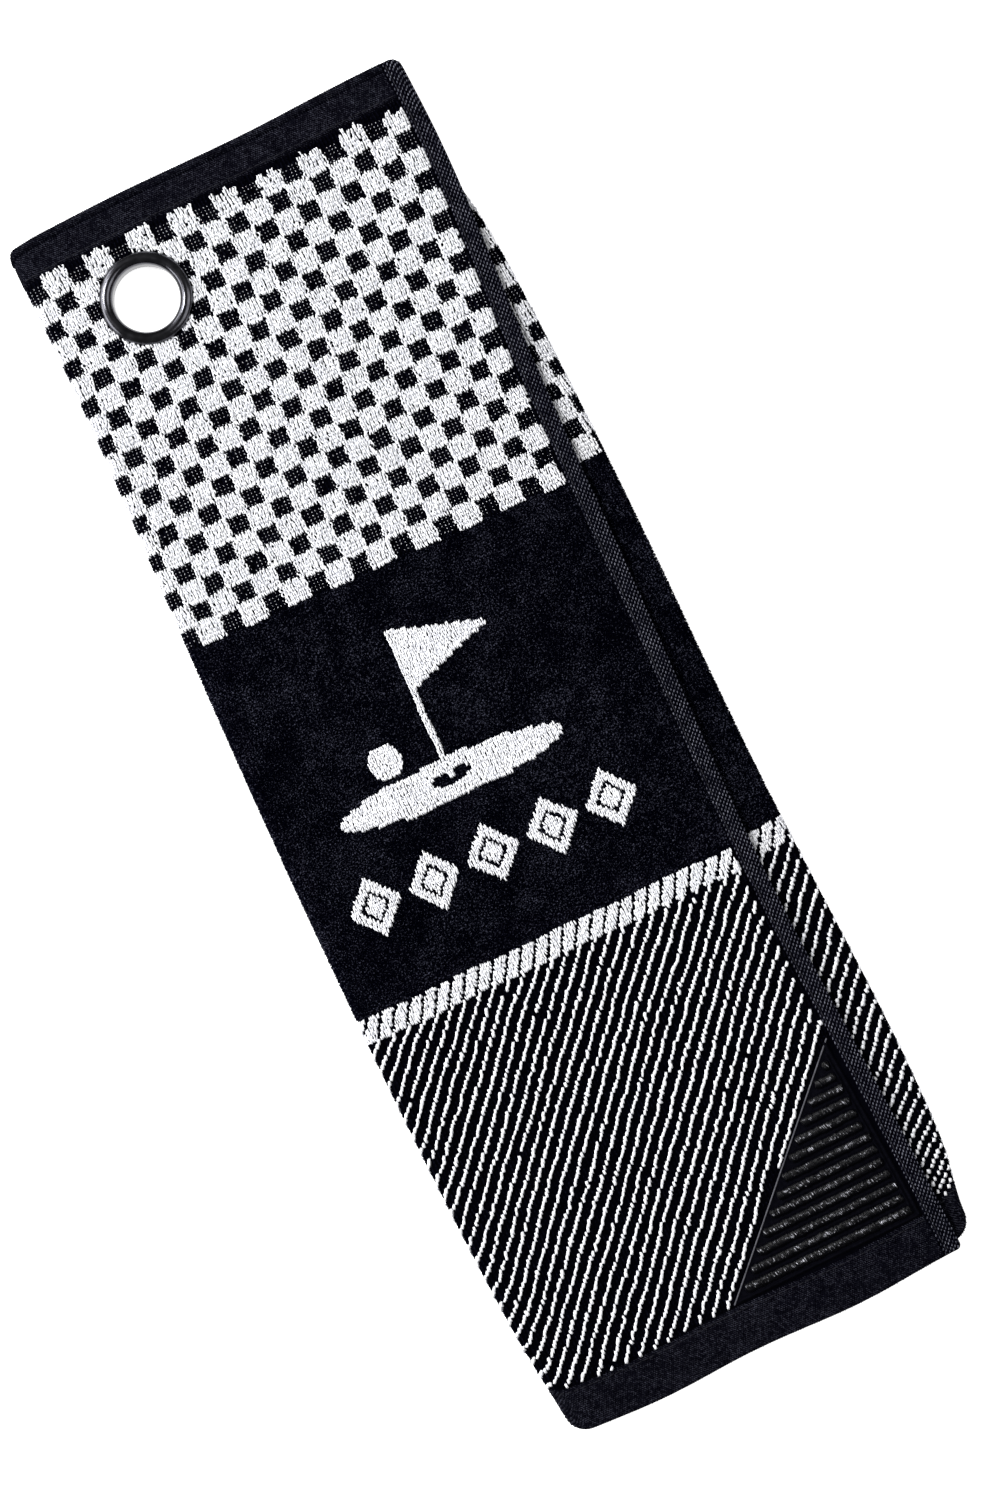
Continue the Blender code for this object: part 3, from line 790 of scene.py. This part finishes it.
def white_pile(name, s0, s1, rings, sides):
    """Two leaning yarns for each white loop of the checks, the motif and the band."""
    s, v = lattice(s0, s1, LOOP_ACROSS / 2, LOOP_ALONG)
    hit = is_white(s, v) & (zone_of(v) < 3)
    s, v = s[hit], v[hit]
    a, b, _, _ = in_check(s, v)
    checks = zone_of(v) == 0
    dome = np.where(checks, (1 - a * a) * (1 - b * b), 0.25)
    s, v = bulge(s, v, 0.11)
    places, good = on_face(s, v, GROUND)
    t = v + weft_slip(s, v)
    good &= (s > SIDE_HEM + 1.1 * MM) & ~patch_reach(places[0], 1.2 * MM)
    good &= keep_seen(places[0], s, t)
    good &= (t > TOP_HEM + 9 * MM) | (RNG.random(len(s)) > 0.16)
    places = [p[good] for p in places]
    s, t, dome, a, b, checks = [q[good] for q in (s, t, dome, a, b, checks)]
    n = len(s)
    height = pile_height(places[0], s, t, 0.72 * MM, 0.36 * MM) * RNG.uniform(0.7, 1.25, n)
    height = height * (1 + 0.35 * dome)
    out_s = np.where(checks & (np.abs(a) > 0.7), np.sign(a), 0) * RNG.uniform(0, 0.75, n)
    out_v = np.where(checks & (np.abs(b) > 0.6), np.sign(b), 0) * RNG.uniform(0, 0.85, n)
    size = (RNG.normal(1.80, 0.20, n) * MM, height, RNG.normal(0.385, 0.04, n) * MM,
            RNG.normal(0, 0.22, n), (out_s + RNG.normal(0, 0.12, n)) * MM,
            (out_v + RNG.normal(0, 0.18, n)) * MM)
    places[0] = (places[0] + places[2] * (RNG.normal(0, 0.09, n) * MM)[:, None]
                 + places[3] * (RNG.normal(0, 0.13, n) * MM)[:, None])
    return strand_pieces(name, places, size, WHITE_YARN, rings, sides)


def stripe_beads(name, s0, s1, rings, sides):
    """The leaning stripes: a chain of single white loops for each."""
    rows = np.arange(math.ceil((BAND_START + BAND_DEPTH - CHECK_END) / LOOP_ALONG),
                     math.floor((LENGTH - BOTTOM_HEM - CHECK_END) / LOOP_ALONG) + 2)
    v = CHECK_END + (rows + 0.5) * LOOP_ALONG
    k, v = np.meshgrid(np.arange(-90, 90), v)
    k, v = k.reshape(-1), v.reshape(-1)
    s = stripe_line(v) + k * STRIPE_ACROSS
    hit = (s > s0 + 0.9 * MM) & (s < s1)
    s, v = s[hit], v[hit]
    s = s + RNG.normal(0, 0.21, len(s)) * MM
    places, good = on_face(s, v, GROUND)
    t = v + weft_slip(s, v)
    good &= ~patch_reach(places[0], 0.9 * MM) & keep_seen(places[0], s, t)
    good &= RNG.random(len(s)) > 0.005
    places, s, t = [p[good] for p in places], s[good], t[good]
    n = len(s)
    height = pile_height(places[0], s, t, 0.80 * MM, 0.36 * MM) * RNG.uniform(0.7, 1.2, n)
    size = (RNG.normal(1.60, 0.16, n) * MM, height, RNG.normal(0.76, 0.09, n) * MM,
            RNG.normal(0.34, 0.22, n), RNG.normal(0, 0.16, n) * MM, RNG.normal(0, 0.12, n) * MM)
    return strand_pieces(name, places, size, WHITE_YARN, rings, sides)


def keep_seen(points, s, t):
    """Leaves out pile in the clamped strip's inner panel, which never shows."""
    return (group_of(s, t) < 2) | (points[:, 0] > X_CREASE - BEND_HALF - 2 * MM)


def low_pile(name, s0, s1, white, rings, sides):
    """One broad low loop for each white or each black place outside the plain black."""
    s, v = lattice(s0, s1, LOOP_ACROSS, LOOP_ALONG)
    here = is_white(s, v)
    hit = here & (zone_of(v) < 3) if white else (zone_of(v) != 1) & ~here
    s, v = s[hit], v[hit]
    places, good = on_face(s, v, GROUND)
    t = v + weft_slip(s, v)
    good &= ~patch_reach(places[0], 0.3 * MM)
    good &= keep_seen(places[0], s, t)
    if white:
        good &= RNG.random(len(s)) > 0.14
    places, s, t = [p[good] for p in places], s[good], t[good]
    n = len(s)
    tall = 0.10 if white else 0.20
    height = pile_height(places[0], s, t, tall * MM, 0.08 * MM) * RNG.uniform(0.6, 1.4, n)
    wide = 0.56 if white else 0.50
    size = (RNG.normal(1.40, 0.10, n) * MM, height, RNG.normal(wide, 0.04, n) * MM,
            RNG.normal(0, 0.12, n), RNG.normal(0, 0.06, n) * MM, RNG.normal(0, 0.08, n) * MM)
    finish = WHITE_YARN if white else BLACK_YARN
    return strand_pieces(name, places, size, finish, rings, sides)


def white_dots(name, s0, s1):
    """Specks of white yarn between the black loops of the dark checks."""
    s, v = lattice(s0, s1, LOOP_ACROSS, LOOP_ALONG, 0.0)
    step = 0.5 * LOOP_ACROSS, 0.5 * LOOP_ALONG
    inside = (v < CHECK_END - 1 * MM) & (v > TOP_HEM + 3 * MM)
    for ds in (-step[0], step[0]):
        for dv in (-step[1], step[1]):
            inside &= ~is_white(s + ds, v + dv)
    inside &= RNG.random(len(s)) > 0.14
    s, v = s[inside], v[inside]
    places, good = on_face(s, v, GROUND + 0.25 * MM)
    t = v + weft_slip(s, v)
    good &= keep_seen(places[0], s, t)
    places = [p[good] for p in places]
    n = len(places[0])
    size = (RNG.normal(0.42, 0.08, n) * MM, RNG.uniform(0.10, 0.30, n) * MM,
            RNG.normal(0.17, 0.03, n) * MM, RNG.normal(0, 0.5, n), 0.0,
            RNG.normal(0, 0.08, n) * MM)
    places[0] = places[0] + places[2] * (RNG.normal(0, 0.08, n) * MM)[:, None]
    return strand_pieces(name, places, size, DOT_YARN, 2, 4)


def velour(name, s0, s1, pitch=0.76 * MM):
    """Sheared pile of the plain zone: short tufts that lean a little, coloured with specks of painted
    sheen.
    """
    s, v = lattice(s0, s1, pitch, pitch)
    s = s + RNG.normal(0, 0.22, len(s)) * pitch
    v = v + RNG.normal(0, 0.22, len(v)) * pitch
    hit = (zone_of(v) == 1) & ~is_white(s, v)
    s, v = s[hit], v[hit]
    (p, out, across, along), good = on_face(s, v, GROUND - 0.1 * MM)
    t = v + weft_slip(s, v)
    good &= keep_seen(p, s, t)
    height = pile_height(p, s, t, 0.85 * MM, 0.6 * MM)[good]
    p, out, across, along = [q[good] for q in (p, out, across, along)]
    n = len(p)
    turn = RNG.uniform(0, math.pi / 2, n)
    corners = []
    for k in range(4):
        a = turn + k * math.pi / 2
        corners.append(p + 0.56 * MM * (np.cos(a)[:, None] * across + np.sin(a)[:, None] * along))
    tip = (p + out * (height * RNG.uniform(0.8, 1.15, n))[:, None]
           + across * (RNG.normal(0, 0.16, n) * MM)[:, None]
           + along * (RNG.normal(0.06, 0.16, n) * MM)[:, None])
    verts = np.stack(corners + [tip], 1).reshape(-1, 3)
    one = np.array([[1, 0, 4], [2, 1, 4], [3, 2, 4], [0, 3, 4]])
    parts = max(1, math.ceil(4 * n / TRIANGLE_LIMIT))
    made = []
    for k, part in enumerate(np.array_split(np.arange(n), parts)):
        title = name if parts == 1 else f"{name}_{k + 1}"
        faces = (one[None] + (np.arange(len(part)) * 5)[:, None, None]).reshape(-1, 3)
        made.append(new_mesh(title, verts.reshape(-1, 5, 3)[part].reshape(-1, 3), [faces],
                             VELOUR_SHEEN_YARN))
    return made


def reverse_pile(name, white):
    """Loops on the front flap's reverse, where the two colours change places."""
    s_end = float(FREE_X(0.0)) - X_CREASE + BEND_HALF + 4 * MM
    s, v = lattice(SIDE_HEM, s_end, LOOP_ACROSS, LOOP_ALONG)
    hit = is_white(s, v) != white
    s, v = s[hit], v[hit]
    (p, out, across, along), good = on_face(s, v, -GROUND)
    good &= p[:, 0] > X_CREASE - BEND_HALF
    places = [p[good], -out[good], across[good], along[good]]
    n = len(places[0])
    size = (RNG.normal(1.5, 0.12, n) * MM, RNG.uniform(0.1, 0.26, n) * MM,
            RNG.normal(0.50, 0.04, n) * MM, RNG.normal(0, 0.2, n), RNG.normal(0, 0.1, n) * MM,
            RNG.normal(0, 0.1, n) * MM)
    finish = WHITE_YARN if white else BLACK_YARN
    return strand_pieces(name, places, size, finish, 2, 3)


FRONT_PIECES += white_pile("front_white_loops", SIDE_HEM, S_SEAM, 4, 4)
FRONT_PIECES += stripe_beads("front_stripe_loops", SIDE_HEM, S_SEAM, 4, 4)
FRONT_PIECES += low_pile("front_white_base", SIDE_HEM, S_SEAM, True, 2, 3)
FRONT_PIECES += low_pile("front_black_loops", SIDE_HEM, S_SEAM, False, 3, 4)
FRONT_PIECES += white_dots("front_check_dots", SIDE_HEM, S_SEAM)
FRONT_PIECES += velour("front_velour", SIDE_HEM, S_SEAM)
FRONT_PIECES += reverse_pile("reverse_white_loops", True)
FRONT_PIECES += reverse_pile("reverse_black_loops", False)
REAR_PIECES += white_pile("rear_white_loops", S_SEAM, S_END, 3, 3)
REAR_PIECES += stripe_beads("rear_stripe_loops", S_SEAM, S_END, 3, 3)
REAR_PIECES += low_pile("rear_white_base", S_SEAM, S_END, True, 2, 3)
REAR_PIECES += low_pile("rear_black_loops", S_SEAM, S_END, False, 3, 3)
REAR_PIECES += white_dots("rear_check_dots", S_SEAM, S_END)
REAR_PIECES += velour("rear_velour", S_SEAM, S_END)


# ------------------------------------------------------------------------------ hems, stitches

def stitch_row(name, s, t, lengthwise, fit=False):
    """Stitches along a hem's inner edge, lying on its outer face."""
    s, t = np.broadcast_arrays(s, t)
    if fit:
        s, t = fit_width(s, t)
    places = list(on_cloth(s, t, HEM_HALF - 0.06 * MM))
    n = len(s)
    turn = RNG.normal(0.0 if lengthwise else math.pi / 2, 0.05, n)
    size = (2.5 * MM, 0.16 * MM, 0.23 * MM, turn, 0.0, 0.0)
    return strands(name, *places, size, THREAD, 5, 4)


STITCH_STEP = 2.9 * MM
HEM_PLANS = {
    "front_side_hem": (Hem(0.0, SIDE_HEM, 0.0, LENGTH, ("s0", "s1", "t0", "t1")), True),
    "front_top_hem": (Hem(SIDE_HEM, S_SEAM, 0.0, TOP_HEM, ("t0", "t1"), roll=True), False),
    "front_bottom_hem": (Hem(SIDE_HEM, S_SEAM, LENGTH - BOTTOM_HEM, LENGTH, ("t0", "t1")),
                         False),
    "rear_top_hem": (Hem(S_SEAM, S_END - SIDE_HEM, 0.0, TOP_HEM, ("t0", "t1"), fit_width,
                         True), False),
    "rear_bottom_hem": (Hem(S_SEAM, S_END - SIDE_HEM, LENGTH - BOTTOM_HEM, LENGTH,
                            ("t0", "t1"), fit_width), False),
    "inner_side_hem": (Hem(S_END - SIDE_HEM, S_END, 0.0, LENGTH, ("s0", "s1", "t0", "t1"),
                           fit_width), True),
}
hems, hem_threads = {}, {}
for title, (plan, plain) in HEM_PLANS.items():
    kind = "canvas" if plain else "twill"
    hems[title] = plan.build(f"{kind}_{title}")
    hem_threads[title] = plan.threads(f"{kind}_threads_{title}", plain)
across_front = np.arange(SIDE_HEM + 2 * MM, S_SEAM - 1 * MM, STITCH_STEP)
across_rear = np.arange(S_SEAM + 1 * MM, S_END - SIDE_HEM - 2 * MM, STITCH_STEP)
down = np.arange(3 * MM, LENGTH - 3 * MM, STITCH_STEP)
stitches = {
    "front_top": stitch_row("front_top_stitches", across_front, TOP_HEM - STITCH_INSET_ENDS, False),
    "front_bottom": stitch_row("front_bottom_stitches", across_front,
                               LENGTH - BOTTOM_HEM + STITCH_INSET_ENDS, False),
    "front_side": stitch_row("front_side_stitches", SIDE_HEM - STITCH_INSET_SIDES, down, True),
    "rear_top": stitch_row("rear_top_stitches", across_rear, TOP_HEM - STITCH_INSET_ENDS, False, True),
    "rear_bottom": stitch_row("rear_bottom_stitches", across_rear,
                              LENGTH - BOTTOM_HEM + STITCH_INSET_ENDS, False, True),
    "inner_side": stitch_row("inner_side_stitches", S_END - SIDE_HEM + STITCH_INSET_SIDES, down, True,
                             True),
}


# -------------------------------------------------------------------------------- scrub patch

RIB_FIRST = 4.3 * MM
RIB_PITCH = 5.33 * MM
RIB_HALF = 1.95 * MM
RIB_RISE = 1.35 * MM
RIB_COUNT = 13
PATCH_Z = 8.1 * MM


def settle(points):
    """Lets points of the front face rise and fall with the cloth."""
    points = np.array(points, float)
    share = WAVE * lift(points[:, 0], points[:, 1]) / (Z_FRONT + CLOTH_T / 2)
    points[:, 2] += points[:, 2] * share
    return points


def tube(path, radii_across, radii_up, sides=10):
    """Vertices and faces of a closed bar along a path of points, flattened upwards."""
    path = np.asarray(path, float)
    along = np.gradient(path, axis=0)
    along /= np.linalg.norm(along, axis=1)[:, None]
    side = np.cross(along, (0, 0, 1.0))
    phi = 2 * math.pi * np.arange(sides) / sides
    verts = (path[:, None] + np.cos(phi)[None, :, None] * side[:, None] * radii_across[:, None, None]
             + np.sin(phi)[None, :, None] * np.array((0, 0, 1.0)) * radii_up[:, None, None])
    ring = np.arange(sides)
    step = np.arange(len(path) - 1)[:, None] * sides
    quads = np.stack((step + (ring + 1) % sides, step + ring, step + sides + ring,
                      step + sides + (ring + 1) % sides), -1).reshape(-1, 4)
    return verts.reshape(-1, 3), quads


def bars(name, parts, material):
    """Several tubes in one mesh, with their ends drawn together so that they close."""
    verts, quads, start = [], [], 0
    for v, q in parts:
        verts.append(v)
        quads.append(q + start)
        start += len(v)
    return new_mesh(name, settle(np.concatenate(verts)), [np.concatenate(quads)], material)


def satin_bar(x0, x1, y, z, half, rise, pitch=0.62 * MM):
    """A bar wound with thread: each turn stands up on its own, and the ends are round."""
    turns = max(4, round((x1 - x0) / pitch))
    n = 4 * turns + 1
    x = np.linspace(x0, x1, n)
    end = np.minimum(x - x0, x1 - x) / (1.3 * MM)
    close = np.sqrt(np.clip(1 - (1 - np.clip(end, 0, 1)) ** 2, 1e-5, 1))
    tall = np.repeat(RNG.normal(1, 0.08, turns), 4)
    tall = np.append(tall, tall[-1])
    ripple = tall * (0.84 + 0.20 * np.abs(np.sin(np.arange(n) * math.pi / 4)) ** 0.7)
    sway = np.interp(np.arange(n), np.arange(0, n, 4), RNG.normal(0, 0.10, turns + 1)) * MM
    path = np.stack((x, y + sway, np.full(n, z)), -1)
    return tube(path, half * close * (0.6 + 0.4 * ripple), rise * close * ripple, 16)


def cord(points, radius, steps=240, sides=8):
    """A rippled cord through two end points, or along a given path."""
    path = np.asarray(points, float)
    if len(path) == 2:
        path = path[0] + (path[1] - path[0]) * np.linspace(0, 1, steps)[:, None]
    ripple = 1 + 0.08 * np.sin(np.arange(len(path)) * 1.9)
    ripple[[0, -1]] = 0.02
    return tube(path, radius * ripple, radius * 0.9 * ripple, sides)


def crest_glint_threads(bars_at):
    """The tops of the threads wound round the ribs, from (left x, right x, y) of each rib, coloured
    near white as painted glints on the black thread.
    """
    x = [np.arange(x0 + 0.9 * MM, x1 - 0.8 * MM, 0.60 * MM) for x0, x1, _ in bars_at]
    y = [np.full(len(row), at[2]) for row, at in zip(x, bars_at)]
    x, y = np.concatenate(x), np.concatenate(y)
    seen = RNG.random(len(x)) > 0.15
    x, y = x[seen], y[seen]
    n = len(x)
    base = np.stack((x + RNG.normal(0, 0.08, n) * MM, y + RNG.normal(0.15, 0.14, n) * MM,
                     np.full(n, PATCH_Z + 0.86 * RIB_RISE)), -1)
    out, across, along = [np.tile(axis, (n, 1)) for axis in
                          ((0.0, 0.0, 1.0), (-1.0, 0.0, 0.0), (0.0, -1.0, 0.0))]
    size = (RNG.normal(1.75, 0.30, n) * MM, 0.17 * MM, RNG.normal(0.19, 0.03, n) * MM,
            RNG.normal(-0.30, 0.14, n), 0.0, 0.0)
    # The crest threads carry painted glints: their light colour stands in for highlights.
    return strands("rib_crest_glint_threads", settle(base), out, across, along, size, CREST_GLINT_THREAD,
                   4, 4)


def build_patch():
    """Base cloth, ribs, crest threads coloured with painted glints, edge cords and seam of the scrub
    patch.
    """
    y0, y1 = PATCH_LOW.y, PATCH_HIGH.y + 1.5 * MM
    n = 61
    share, height = np.meshgrid(np.linspace(0, 1, n), np.linspace(y0, y1, n))
    left, right = patch_slant(height), patch_right(height)
    x = left + (np.maximum(right, left + 0.4 * MM) - left) * share
    relief = 0.04 * MM * np.sin(x * 2300) * np.sin(height * 2100)
    top = np.stack((x, height, PATCH_Z + relief), -1).reshape(-1, 3)
    bottom = np.stack((x, height, np.full_like(x, PATCH_LOW.z)), -1).reshape(-1, 3)
    plate = new_mesh("patch_base", settle(np.concatenate((top, bottom))),
                     [closed_faces(grid_cells(n, n), n * n)], PATCH_YARN)

    ribs, spans = [], []
    for k in range(RIB_COUNT):
        y = y0 + RIB_FIRST + k * RIB_PITCH
        x_left = patch_slant(y) + (2.7 + RNG.uniform(-0.4, 0.4)) * MM
        x_right = patch_right(y) - (2.8 + RNG.uniform(-0.3, 0.6)) * MM
        x_right = max(x_right, x_left + 2.4 * MM)
        spans.append((x_left, x_right, y))
        ribs.append(satin_bar(x_left, x_right, y, PATCH_Z, RIB_HALF, RIB_RISE))
    rib_mesh = bars("satin_ribs", ribs, SCRUB)

    cords = []
    for inset, r in ((0.8 * MM, 0.70 * MM), (2.5 * MM, 0.55 * MM)):
        ys = np.linspace(y0 + inset, y1 - inset * 2.4, 240)
        path = np.stack((patch_right(ys) - inset, ys, np.full(240, PATCH_Z)), -1)
        cords.append(cord(path, r))
    foot = y0 + 0.9 * MM
    cords.append(cord([(patch_slant(foot) + 1.5 * MM, foot, PATCH_Z),
                       (patch_right(foot) - 1 * MM, foot, PATCH_Z)], 0.55 * MM))
    binding = bars("patch_edge_cords", cords, PATCH_YARN)

    low, high = y0 + 0.4 * MM, y1 - 1.0 * MM
    seam = [cord([(patch_slant(low) + 0.5 * MM, low, PATCH_Z + 0.15 * MM),
                  (patch_slant(high) + 0.5 * MM, high, PATCH_Z + 0.15 * MM)], 0.30 * MM, 420)]
    return (plate, rib_mesh, crest_glint_threads(spans), binding,
            bars("patch_seam_cord", seam, SEAM_THREAD))


patch_base, satin_ribs, rib_glint_threads, patch_cords, patch_seam = build_patch()


# ------------------------------------------------------------------------------------ grommet

def turned(name, profile, material, steps=176):
    """A closed ring turned about the grommet's axis from (radius, z) points."""
    profile = np.asarray(profile, float)
    a = 2 * math.pi * np.arange(steps) / steps
    verts = np.stack((GROMMET[0] + profile[None, :, 0] * np.cos(a)[:, None],
                      GROMMET[1] + profile[None, :, 0] * np.sin(a)[:, None],
                      np.broadcast_to(profile[None, :, 1], (steps, len(profile)))), -1)
    m = len(profile)
    i, k = np.meshgrid(np.arange(m), np.arange(steps))
    near, far = k * m, ((k + 1) % steps) * m
    quads = np.stack((near + i, near + (i + 1) % m, far + (i + 1) % m, far + i), -1)
    return new_mesh(name, verts.reshape(-1, 3), [quads.reshape(-1, 4)[:, ::-1]], material)


def arc(cr, cz, rr, rz, a0, a1, steps=14):
    """Points of an elliptical arc in the (radius, z) plane, angles in degrees."""
    a = np.radians(np.linspace(a0, a1, steps))
    return list(zip(cr + rr * np.cos(a), cz + rz * np.sin(a)))


def build_grommet():
    """The eyelet with its rolled flange and barrel, and the washer clinched behind."""
    wall = 1.0 * MM
    top = float(EYELET[:, 2].max())
    r_crest = BORE_R + 2.45 * MM
    edge_z = top - 2.2 * MM
    profile = arc(FLANGE_R - 0.35 * MM, edge_z, 0.35 * MM, 0.35 * MM, -90, 0, 6)
    profile += arc(r_crest, edge_z, FLANGE_R - r_crest, top - edge_z, 8, 90, 16)
    profile += arc(r_crest, top - 3.0 * MM, r_crest - BORE_R, 3.0 * MM, 98, 180, 16)
    profile += [(BORE_R, 1.0 * MM)]
    profile += arc(BORE_R + 1.0 * MM, 0.85 * MM, 1.0 * MM, 0.8 * MM, 190, 350, 12)
    profile += [(BORE_R + wall, 1.6 * MM), (BORE_R + wall, edge_z - 0.35 * MM)]
    eyelet = turned("rolled_eyelet", profile, NICKEL)
    inner, outer = BORE_R + 1.3 * MM, FLANGE_R
    z0, z1 = 0.15 * MM, 1.1 * MM
    mid, half = (z0 + z1) / 2, (z1 - z0) / 2
    ring = arc(outer - half, mid, half, half, -90, 90, 9) + [(inner, z1), (inner, z0)]
    washer = turned("clinched_washer", ring, NICKEL)
    return eyelet, washer


eyelet, washer = build_grommet()


# ------------------------------------------------------------------- bodies and hidden CAD nodes

def bend(piece):
    """Bakes the piece's transform into its mesh."""
    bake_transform(piece)


FRONT_TITLES = ("front_side_hem", "front_top_hem", "front_bottom_hem")
REAR_TITLES = ("rear_top_hem", "rear_bottom_hem", "inner_side_hem")
front_hems = [hems[k] for k in FRONT_TITLES]
rear_hems = [hems[k] for k in REAR_TITLES]
front_threads = [hem_threads[k] for k in FRONT_TITLES]
rear_threads = [hem_threads[k] for k in REAR_TITLES]
front_rows = [stitches[k] for k in ("front_top", "front_bottom", "front_side")]
rear_rows = [stitches[k] for k in ("rear_top", "rear_bottom", "inner_side")]
PATCH_PIECES = (patch_base, satin_ribs, rib_glint_threads, patch_cords, patch_seam)

for piece in [front_sheet, *FRONT_PIECES, *front_hems, *front_threads, *front_rows]:
    bend(piece)
for piece in [rear_sheet, *REAR_PIECES, *rear_hems, *rear_threads, *rear_rows]:
    bend(piece)
for piece in PATCH_PIECES:
    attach(piece, "front_flap")
for piece in (eyelet, washer):
    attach(piece, "clamped_strip")

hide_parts("front_cloth", "left_cloth")
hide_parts("rear_cloth", "inner_cloth")
OTHER_SIDE = {"front": "left", "rear": "inner"}
for built, ending in ((hems, "hem"), (stitches, "stitching")):
    for title, piece in built.items():
        panel, edge = title.split("_")[:2]
        stood_for = [f"{panel}_{edge}_{ending}"]
        if edge != "side":
            stood_for.append(f"{OTHER_SIDE[panel]}_{edge}_{ending}")
        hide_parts(*stood_for)
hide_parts("scrub_patch")
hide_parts("patch_stitching")
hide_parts("grommet_eyelet")
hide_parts("grommet_washer")
